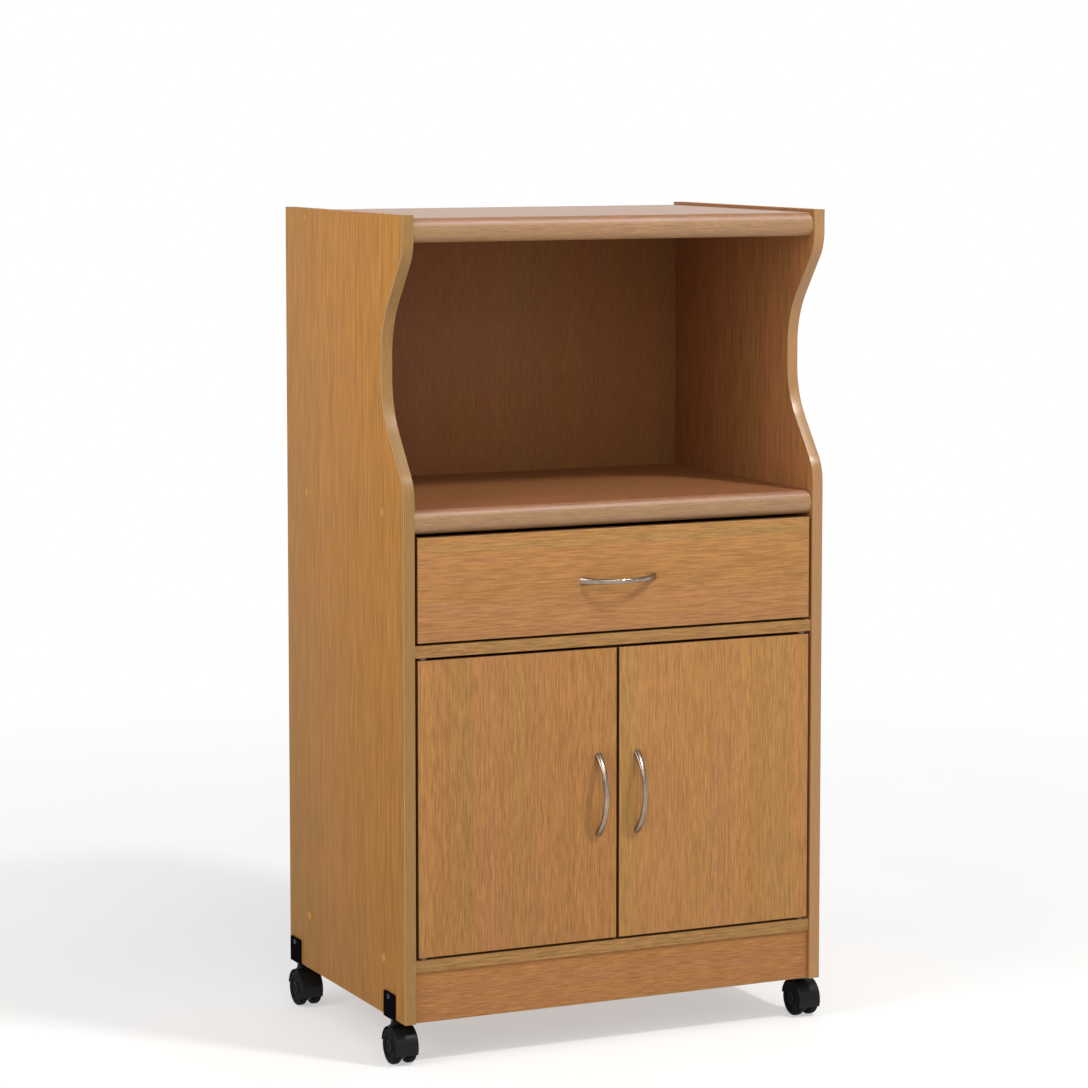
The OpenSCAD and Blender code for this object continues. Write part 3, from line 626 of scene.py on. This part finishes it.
def edging(bm, x0, x1):
    """A thin strip glued on the curved front edge, its outer corners eased."""
    r = 0.7
    inner = front_line(1.0)
    n = len(inner)
    # cross section from the inner face over the rounded front to the outer face
    sect = [(0.0, 1.0), (0.0, r)] + [(r - r * math.cos(a), r - r * math.sin(a)) for a in
            [math.radians(x) for x in (15, 30, 45, 60, 75, 90)]]
    sect += [(T - u, v) for u, v in sect[::-1]]
    lines = {v: front_line(v) for u, v in sect}
    rows = []
    for i in range(n):
        rows.append([bm.verts.new(P(x0 + u * (x1 - x0) / T, lines[v][i][0], lines[v][i][1])) for u, v in sect])
    k = len(sect)
    for i in range(n - 1):
        for j in range(k):
            l = (j + 1) % k
            f = bm.faces.new((rows[i][j], rows[i][l], rows[i + 1][l], rows[i + 1][j]))
            # the eased corner beside an outer face is a shade lighter: a painted highlight of the light this rounding
            # catches
            if 1 <= j <= 4 if x0 < 100 else k - 6 <= j <= k - 3:
                f.material_index = 1
            else:
                f.material_index = 0 if x0 < 100 else 2
    bm.faces.new(rows[0])
    bm.faces.new(rows[-1][::-1])


bm = bmesh.new()
edging(bm, 0.0, T)
edging(bm, WD - T, WD)
to_object(bm, "edging_strips", [side_edge, edge_highlight, side_edge_r], "cabinet", ["front_edgings"], "laminate_side", 40)


# ---------------------------------------------------------------- boards
def plain_board(name, lo, hi, mats, body, node, slot, ease=0.5, segs=3):
    bm = box_bm(lo, hi)
    round_edges(bm, bm.edges[:], ease, segs, 1 if len(mats) > 1 else -1)
    return to_object(bm, name, mats, body, [node], slot, 30)


def nose_board(name, node, z, upper):
    """A board whose front edge is thickened and rounded."""
    r, tall, deep = 12.0, 30.0, 60.0
    pts = [(388.0, z + tall - T), (388.0, z + tall)]
    for i in range(37):
        # a crowned front between two quarter rounds
        a = math.radians(90 + 180 * i / 36)
        c, q = math.cos(a), math.sin(a)
        e = 2 / 2.2
        pts.append((2 + r - r * abs(c) ** e, z + tall / 2 + math.copysign(abs(q) ** e, q) * tall / 2))
    pts += [(2 + deep - 0.6, z), (2 + deep, z + 0.6), (2 + deep, z + tall - T)]
    bm = slab_bm(pts, T, WD - T)
    top, under = P(0, 0, z + tall).z, P(0, 50, 0).y
    # the flat top takes the upper material, a tinted copy of the print: painted sheen on the top board, painted shade
    # on the shelf
    for f in bm.faces:
        c = f.calc_center_median()
        if f.normal.z > 0.999 and abs(c.z - top) < 1e-6:
            f.material_index = 1
        elif c.y > under and f.normal.z < -0.999:
            f.material_index = 2
    return to_object(bm, name, [nose_h, upper, thin_h], "cabinet", [node], "laminate_nose", 30)


nose_board("board_top", "top_board", 966.0, top_face_sheen)
nose_board("board_shelf", "microwave_shelf", 609.0, shelf_face_shaded)
plain_board("rail_divider", (T, 2, 457), (WD - T, 388, 472), [rail_h, band], "cabinet", "divider_board", "laminate_front", 0.4)
plain_board("board_bottom", (T, 2, 64), (WD - T, 388, 79), [rail_h, band], "cabinet", "bottom_board", "laminate_front", 0.4)
plain_board("plinth_front", (T, 5, 0), (WD - T, 20, 64), [plinth_h, band], "cabinet", "front_plinth", "laminate_front", 0.4)
plain_board("plinth_rear", (T, 373, 0), (WD - T, 388, 64), [front_h, band], "cabinet", "rear_plinth", "laminate_front", 0.4)
plain_board("shelf_loose", (T + 1, 60, 262), (WD - T - 1, 386, 277), [thin_h, band], "cabinet", "cupboard_shelf", "laminate_front", 0.5)


def back_board(name, node, z0, z1):
    bm = box_bm((T - 5, 388, z0), (WD - T + 5, 391, z1))
    rear = [f for f in bm.faces if f.normal.y > 0.9]
    for f in rear:
        f.material_index = 1
    round_edges(bm, bm.edges[:], 0.25, 2)
    return to_object(bm, name, [thin_v, fibre_back], "cabinet", [node], "laminate_thin", 30)


back_board("back_upper", "upper_back_panel", 632.5, 993.0)
back_board("back_lower", "lower_back_panel", 2.0, 631.5)

# ---------------------------------------------------------------- fronts
DW = (555.0 - 8.0 - 4.0) / 2


def front(name, node, body, x0, x1, z0, z1, mat):
    """A drawer or door front: printed faces, and a dark brown on the edge faces that paints the shade in the narrow
    gaps between the fronts.
    """
    bm = box_bm((x0, 1, z0), (x1, 16, z1))
    round_edges(bm, bm.edges[:], 0.4, 3)
    for f in bm.faces:
        # the edge faces take the dark painted gap shade, the front and back faces the print
        f.material_index = 1 if max(abs(f.normal.x), abs(f.normal.z)) > 0.999 else 0
    return to_object(bm, name, [mat, gap_shade_edge], body, [node], "laminate_front", 30)


front("front_drawer", "drawer_front", "drawer", 19, WD - 19, 475.5, 605.5, front_h)
front("door_left", "left_door", "left_door", 19, 19 + DW, 82.5, 453.5, front_v)
front("door_right", "right_door", "right_door", WD - 19 - DW, WD - 19, 82.5, 453.5, front_v2)

# drawer box, with the grooves that hold its bottom
BX0, BZ0, RY, DL, DT, DH = 27.5, 486.0, 16.0, 350.0, 12.0, 95.0


def drawer_side(name, node, mirrored):
    def X(x):
        return WD - x if mirrored else x
    a, b = sorted((X(BX0), X(BX0 + DT)))
    bm = box_bm((a, RY, BZ0), (b, RY + DL, BZ0 + DH))
    round_edges(bm, bm.edges[:], 0.6, 3, 1)
    g0, g1 = sorted((X(BX0 + DT - 5), X(BX0 + DT + 1)))
    bm = cut(bm, [box_bm((g0, RY - 1, BZ0 + 6), (g1, RY + DL + 1, BZ0 + 9))])
    return to_object(bm, name, [thin_h_y, band_y], "drawer", [node], "laminate_thin", 30)


thin_h_y = laminate("laminate_drawer_side", "Y", *shades(160, 108, 56, 0.8), 1.8, 0.03, 0.09, 0.04)
band_y = laminate("laminate_drawer_edge", "Y", *shades(150, 108, 62, 0.5), 2.2, 0.03, 0.05, 0.03)
drawer_side("box_side_left", "drawer_left_side", False)
drawer_side("box_side_right", "drawer_right_side", True)
plain_board("box_back", (BX0 + DT, RY + DL - DT, BZ0 + 9), (WD - BX0 - DT, RY + DL, BZ0 + DH), [thin_h, band], "drawer", "drawer_back", "laminate_thin", 0.6)
plain_board("box_bottom", (BX0 + DT - 5, RY - 5, BZ0 + 6), (WD - BX0 - DT + 5, RY + DL, BZ0 + 9), [thin_h, fibre_back], "drawer", "drawer_bottom", "laminate_thin", 0.25, 2)


# ---------------------------------------------------------------- bow handles
def bow(name, node, body, centre, upright, mat, slot="satin_nickel"):
    """A bent bar that widens to both ends and is cut off at the front's face."""
    out, chord, th = 26.0, 100.0, 6.0
    sag = out - th / 2
    R = ((chord / 2) ** 2 + sag ** 2) / (2 * sag)
    half = math.asin(chord / 2 / R)
    over = math.radians(4.5)
    bm = bmesh.new()
    n, m = 96, 28
    rows = []
    for i in range(n + 1):
        a = -(half + over) + 2 * (half + over) * i / n
        s = min(1.0, abs(a) / half)
        width = 6.4 + 3.2 * s ** 2.4
        thick = 5.0 + 1.0 * s ** 2
        # middle line keeps the outer surface on the same arc
        rc = R + th / 2 - thick / 2
        cx, cy = rc * math.sin(a), (R - sag) - rc * math.cos(a)
        row = []
        for j in range(m):
            q = 2 * math.pi * j / m
            cs, sn = math.cos(q), math.sin(q)
            e = 2 / 2.12
            w = math.copysign(abs(cs) ** e, cs) * width / 2
            t = math.copysign(abs(sn) ** e, sn) * thick / 2
            u = cx + t * math.sin(a)
            d = cy - t * math.cos(a)
            if upright:
                row.append(bm.verts.new(P(centre[0] + w, centre[1] + d, centre[2] + u)))
            else:
                row.append(bm.verts.new(P(centre[0] + u, centre[1] + d, centre[2] + w)))
        rows.append(row)
    for i in range(n):
        for j in range(m):
            l = (j + 1) % m
            bm.faces.new((rows[i][j], rows[i][l], rows[i + 1][l], rows[i + 1][j]))
    bm.faces.new(rows[0])
    bm.faces.new(rows[-1][::-1])
    plane = P(0, centre[1] - 0.02, 0)
    got = bmesh.ops.bisect_plane(bm, geom=bm.verts[:] + bm.edges[:] + bm.faces[:], plane_co=plane,
                                 plane_no=Vector((0, 1, 0)), clear_outer=True)
    rim = [e for e in bm.edges if e.is_boundary]
    bmesh.ops.holes_fill(bm, edges=rim, sides=0)
    return to_object(bm, name, [mat], body, [node], slot, 50)


bow("bow_drawer", "drawer_handle", "drawer", (292.5, 1.0, 540.5), False, nickel)
LHX = 265.5
bow("bow_left", "left_door_handle", "left_door", (LHX, 1.0, 268.0), True, nickel_z)
bow("bow_right", "right_door_handle", "right_door", (WD - LHX, 1.0, 268.0), True, nickel_z)


# ---------------------------------------------------------------- casters
WR, WW, WG = 23.0, 10.6, 9.0
WC = (WW + WG) / 2
AZ = -33.0


def wheels(name, nodes, body, x, y):
    # one wheel, heights along +X from its middle plane; outer face at +WW/2
    h = WW / 2
    prof = [(3.02, -h), (WR - 4.0, -h)]
    prof += arc_pts(WR - 3.2, -h + 3.2, 3.2, -90, 0, 7)[1:]
    prof += arc_pts(WR - 3.2, h - 3.2, 3.2, 0, 90, 7)
    prof += [(WR - 4.6, h), (WR - 5.0, h - 0.7), (WR - 6.2, h - 0.7), (WR - 6.6, h), (WR - 8.6, h),
             (WR - 9.2, h - 1.4), (9.4, h - 1.4), (8.8, h - 0.2), (7.0, h), (4.6, h), (4.0, h - 0.4), (0.0, h - 0.4), (0.0, h - 0.9), (3.02, h - 0.9)]
    bm = bmesh.new()
    for s in (-1, 1):
        lathe_bm((x + s * WC, y, AZ), (s, 0, 0), prof, 72, bm)
    return to_object(bm, name, [black_wheel], body, nodes, "wheel_plastic", 34)


def hood(name, node, body, x, y):
    bm = bmesh.new()
    hw = WW + WG / 2
    fi, fo = WR + 1.0, WR + 2.2
    # shell over both wheels: rounded shoulders, a low rim along each side
    outer = [(fi, -hw), (fo - 0.8, -hw), (fo - 0.3, -hw + 0.25), (fo - 0.05, -hw + 0.8), (fo, -hw + 2.0),
             (fo, hw - 2.0), (fo - 0.05, hw - 0.8), (fo - 0.3, hw - 0.25), (fo - 0.8, hw), (fi, hw)]
    lathe_bm((x, y, AZ), (1, 0, 0), outer, 60, bm, arc=(-21, 173))
    # web between the wheels
    wt = WG / 2 - 0.6
    n = 64
    pts = []
    for i in range(n):
        a = 2 * math.pi * i / n
        up = math.sin(a)
        r = 18.0 if up < 0.04 else 18.0 + (fi + 0.5 - 18.0) * min(1.0, (up - 0.04) / 0.08)
        pts.append((r * math.cos(a), r * math.sin(a)))
    web_bm = bmesh.new()
    a = [web_bm.verts.new(P(x - wt, y - c, AZ + s)) for c, s in pts]
    b = [web_bm.verts.new(P(x + wt, y - c, AZ + s)) for c, s in pts]
    web_bm.faces.new(a)
    web_bm.faces.new(b[::-1])
    for i in range(n):
        j = (i + 1) % n
        web_bm.faces.new((a[i], b[i], b[j], a[j]))
    me = bpy.data.meshes.new("w")
    bmesh.ops.recalc_face_normals(web_bm, faces=web_bm.faces[:])
    web_bm.to_mesh(me)
    web_bm.free()
    bm.from_mesh(me)
    bpy.data.meshes.remove(me)
    # hub round the stem, flared into the shell; the stem's axis lies behind the axle
    sy = y + 13.0
    hub = [(3.06, 2.0), (3.06, 28.7), (5.9, 28.7), (6.5, 28.2), (6.6, 25.5), (6.9, 23.8), (7.8, 22.4), (9.6, 21.4), (9.6, 19.8), (4.1, 17.0), (4.1, 2.0)]
    lathe_bm((x, sy, AZ), (0, 0, 1), hub, 48, bm)
    return to_object(bm, name, [black_gloss], body, [node], "black_plastic", 34)


for fr, sy in (("front", 48.0), ("rear", 372.0)):
    for sd, x in (("left", 7.5), ("right", 577.5)):
        wheels(f"twin_wheels_{fr}_{sd}", [f"wheels_{fr}_{sd}"], f"wheel_pair_{fr}_{sd}", x, sy - 13.0)
        hood(f"fender_{fr}_{sd}", f"hood_{fr}_{sd}", f"caster_{fr}_{sd}", x, sy - 13.0)


# ---------------------------------------------------------------- plates and covers
def plate(bm, y, mirrored):
    def X(x):
        return WD - x if mirrored else x
    pts = [(-2, -2), (25, -2), (25, 0), (0, 0), (0, 31.5), (-2, 31.5)]
    b2 = bmesh.new()
    y0, y1 = y - 18.0, y + 18.0
    a = [b2.verts.new(P(X(px), y0, pz)) for px, pz in pts]
    b = [b2.verts.new(P(X(px), y1, pz)) for px, pz in pts]
    b2.faces.new(a)
    b2.faces.new(b[::-1])
    for i in range(6):
        j = (i + 1) % 6
        b2.faces.new((a[i], b[i], b[j], a[j]))
    bmesh.ops.recalc_face_normals(b2, faces=b2.faces[:])
    # corners of the upright leg rounded, and the outer corner of the bend
    tall = [e for e in b2.edges if all(v.co.z > P(0, 0, 30).z for v in e.verts)
            and abs(e.verts[0].co.x - e.verts[1].co.x) > 1e-4]
    round_edges(b2, tall, 3.0, 5)
    bend = [e for e in b2.edges if all(abs(v.co.z - P(0, 0, -2).z) < 1e-6 and abs(v.co.x - P(X(-2), 0, 0).x) < 1e-6 for v in e.verts)]
    round_edges(b2, bend, 1.6, 5)
    me = bpy.data.meshes.new("p")
    b2.to_mesh(me)
    b2.free()
    bm.from_mesh(me)
    bpy.data.meshes.remove(me)


bm = bmesh.new()
for y in (48.0, 372.0):
    plate(bm, y, False)
    plate(bm, y, True)
to_object(bm, "plates_caster", [black_metal], "cabinet", ["caster_plates"], "black_metal", 34)

bm = bmesh.new()
for side in (0, 1):
    for y in (68.0, DP - 72.0):
        for z in (71.5, 631.5, 988.5):
            prof = [(0.0, -0.6), (6.0, -0.6), (6.0, 0.15), (5.8, 0.5), (5.3, 0.72), (4.2, 0.8), (0.0, 0.8)]
            lathe_bm((0.0 if side == 0 else WD, y, z), (-1 if side == 0 else 1, 0, 0), prof, 40, bm, closed=False)
to_object(bm, "covers_screw", [cover_plastic], "cabinet", ["screw_covers"], "cover_plastic", 40)

# ---------------------------------------------------------------- carried-over nodes
LOOKS = {
    "steel": steel, "white_metal": white_metal, "white_plastic": white_plastic,
    "brown_plastic": brown_plastic, "dowel_wood": dowel_wood, "black_metal": black_metal,
    "laminate_side": side_left, "laminate_front": front_h, "laminate_nose": nose_h,
    "laminate_thin": thin_h, "satin_nickel": nickel, "black_plastic": black_gloss,
    "wheel_plastic": black_wheel, "cover_plastic": cover_plastic,
}
slots = {s["node"]: s["material_slot"] for s in frame["record"]["subparts"]}
for n, o in frame["nodes"].items():
    # the small screws take a dark steel
    look = black_steel if n == "small_wood_screws" else LOOKS[slots[n]]
    if not o.data.materials:
        o.data.materials.append(look)
    for i in range(len(o.data.materials)):
        o.data.materials[i] = look

# ---------------------------------------------------------------- stage, light, camera
t = Tree("pale_glowing_floor")
n = t.noise(t.mapped((3, 3, 3)), 2.0, 0.5)
c = t.mix(t.spans(0.3, 0.7, 0.0, 1.0, n), (0.52, 0.52, 0.52), (0.54, 0.54, 0.54))
far = t.t.nodes.new("ShaderNodeVectorMath")
far.operation = "LENGTH"
t.link(t.co, far.inputs[0])
edge = t.spans(0.7, 2.6, 0.0, 1.0, far.outputs["Value"])
# the floor glows: emission 0.46 near the cart rising to 1.0 far out, where the base colour fades to black. The far
# glow blends the floor into the white horizon; the near glow is painted light that thins the cart's shadow and lights
# the cart from below
t.link(t.mix(edge, c, (0.0, 0.0, 0.0)), t.b.inputs["Base Color"])
t.b.inputs["Emission Color"].default_value = (1, 1, 1, 1)
t.link(t.spans(0.0, 1.0, 0.46, 1.0, edge), t.b.inputs["Emission Strength"])
t.b.inputs["Roughness"].default_value = 0.8
t.b.inputs["Specular IOR Level"].default_value = 0.0
bm = bmesh.new()
N = 96
radii = (1.5, 5.0, 20.0, 80.0)
rings = [[bm.verts.new((r * math.cos(2 * math.pi * i / N), r * math.sin(2 * math.pi * i / N), 0.0)) for i in range(N)]
         for r in radii]
bm.faces.new(rings[0])
for k in range(len(radii) - 1):
    for i in range(N):
        j = (i + 1) % N
        bm.faces.new((rings[k][i], rings[k + 1][i], rings[k + 1][j], rings[k][j]))
bmesh.ops.recalc_face_normals(bm, faces=bm.faces[:])
me = bpy.data.meshes.new("floor")
bm.to_mesh(me)
bm.free()
me.materials.append(t.m)
floor = bpy.data.objects.new("floor", me)
bpy.context.scene.collection.objects.link(floor)
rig.stage(floor)


def area(name, where, at, size, power, colour=(1, 1, 1), size_y=None):
    d = bpy.data.lights.new(name, "AREA")
    d.shape = "RECTANGLE"
    d.size = size
    d.size_y = size_y or size
    d.energy = power
    d.color = colour
    o = bpy.data.objects.new(name, d)
    bpy.context.scene.collection.objects.link(o)
    o.location = where
    o.rotation_mode = "QUATERNION"
    o.rotation_quaternion = (Vector(at) - Vector(where)).to_track_quat("-Z", "Y")
    return o


area("key", (1.35, -2.2, 3.5), (0.0, -0.2, 0.6), 0.42, 86, (1.0, 0.985, 0.96))
area("soft_front", (-0.6, -3.6, 3.0), (0.0, 0.0, 0.5), 2.4, 42, (1.0, 0.99, 0.975))
area("soft_left", (-3.4, -0.9, 2.8), (0.0, 0.0, 0.8), 2.0, 58, (1.0, 0.99, 0.98))
area("back_fill", (1.5, 3.2, 2.2), (0.0, 0.0, 0.6), 2.0, 14)

# the room: white round the horizon, dimmer overhead
world = bpy.data.worlds.new("studio")
bpy.context.scene.world = world
world.use_nodes = True
wt = world.node_tree
bg = wt.nodes["Background"]
bg.inputs[0].default_value = (1, 1, 1, 1)
wc = wt.nodes.new("ShaderNodeTexCoord")
wx = wt.nodes.new("ShaderNodeSeparateXYZ")
wt.links.new(wc.outputs["Generated"], wx.inputs[0])
wr = wt.nodes.new("ShaderNodeMapRange")
wr.clamp = True
wt.links.new(wx.outputs[2], wr.inputs[0])
for i, x in enumerate((0.14, 0.40, 1.0, 0.36)):
    wr.inputs[i + 1].default_value = x
wt.links.new(wr.outputs[0], bg.inputs[1])

cam_d = bpy.data.cameras.new("camera")
cam = bpy.data.objects.new("camera", cam_d)
bpy.context.scene.collection.objects.link(cam)
cam_d.sensor_fit = "HORIZONTAL"
cam_d.sensor_width = 36.0
cam_d.lens = 36.0 * 3575.7 / 1088.0
cam_d.shift_y = -0.085
cam_d.clip_start, cam_d.clip_end = 0.05, 400.0
yaw, pitch = math.radians(24.994), math.radians(5.575)
cam.location = (-1.9661, -4.1806, 1.1917)
d = Vector((math.sin(yaw) * math.cos(pitch), math.cos(yaw) * math.cos(pitch), -math.sin(pitch)))
cam.rotation_mode = "QUATERNION"
cam.rotation_quaternion = d.to_track_quat("-Z", "Y")
bpy.context.scene.camera = cam
bpy.context.scene.view_settings.view_transform = "Standard"
bpy.context.scene.view_settings.look = "None"

lo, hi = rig.bounds()
with open("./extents.json", "w") as f:
    json.dump({"cad": CAD_BOX, "visual": [list(lo), list(hi)]}, f)
